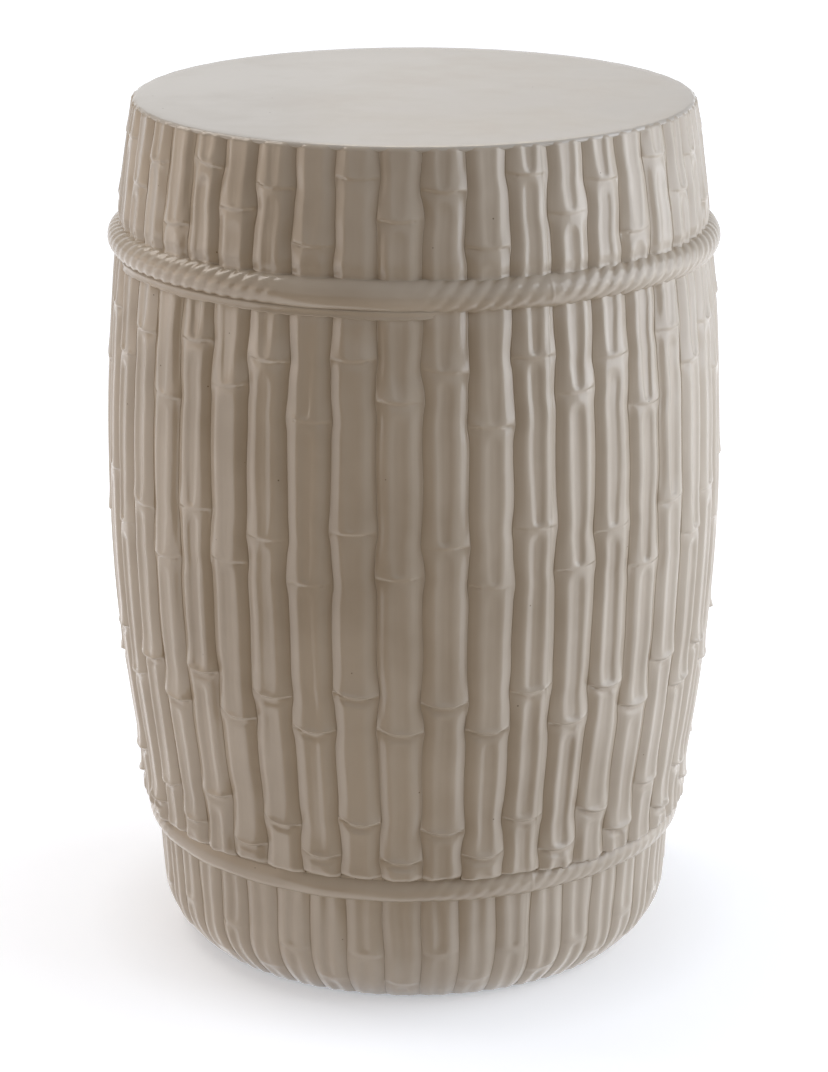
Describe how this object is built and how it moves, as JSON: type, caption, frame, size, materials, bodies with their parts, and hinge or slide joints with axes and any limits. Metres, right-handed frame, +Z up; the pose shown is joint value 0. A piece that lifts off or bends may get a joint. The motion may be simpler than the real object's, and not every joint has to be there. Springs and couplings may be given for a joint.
{
  "type": "garden stool",
  "caption": "Glazed ceramic barrel garden stool with bamboo cane relief, twisted rope bands, a flat round seat and a hollow, open base.",
  "frame": {"origin": "centre of the round base, on the floor", "axes": "+Z up along the barrel's axis; the side seen in front faces -Y, with +X to its right"},
  "size_m": [0.3348, 0.3345, 0.467],
  "materials": {
    "cane_glaze": "glossy warm off-white glaze over modelled canes, pooled a little darker in the grooves",
    "wall_glaze": "glossy warm off-white glaze outside, thin uneven glaze over bare clay inside",
    "seat_glaze": "smooth glossy warm off-white glaze, faintly wavy",
    "rope_glaze": "glossy warm off-white glaze over twisted strands, filled smooth in places",
    "bare_clay": "bare fired clay, matt and slightly rough"
  },
  "bodies": {
    "root": {"barrel_wall": "wall_glaze", "seat": "seat_glaze", "cane_01": "cane_glaze", "cane_02": "cane_glaze", "cane_03": "cane_glaze", "cane_04": "cane_glaze", "cane_05": "cane_glaze", "cane_06": "cane_glaze", "cane_07": "cane_glaze", "cane_08": "cane_glaze", "cane_09": "cane_glaze", "cane_10": "cane_glaze", "cane_11": "cane_glaze", "cane_12": "cane_glaze", "cane_13": "cane_glaze", "cane_14": "cane_glaze", "cane_15": "cane_glaze", "cane_16": "cane_glaze", "cane_17": "cane_glaze", "cane_18": "cane_glaze", "cane_19": "cane_glaze", "cane_20": "cane_glaze", "cane_21": "cane_glaze", "cane_22": "cane_glaze", "cane_23": "cane_glaze", "cane_24": "cane_glaze", "cane_25": "cane_glaze", "cane_26": "cane_glaze", "cane_27": "cane_glaze", "cane_28": "cane_glaze", "cane_29": "cane_glaze", "cane_30": "cane_glaze", "cane_31": "cane_glaze", "cane_32": "cane_glaze", "cane_33": "cane_glaze", "cane_34": "cane_glaze", "cane_35": "cane_glaze", "cane_36": "cane_glaze", "cane_37": "cane_glaze", "cane_38": "cane_glaze", "cane_39": "cane_glaze", "cane_40": "cane_glaze", "cane_41": "cane_glaze", "cane_42": "cane_glaze", "cane_43": "cane_glaze", "cane_44": "cane_glaze", "upper_rope": "rope_glaze", "lower_rope": "rope_glaze", "foot_canes": "cane_glaze", "foot_ring": "bare_clay"}
  },
  "joints": []
}
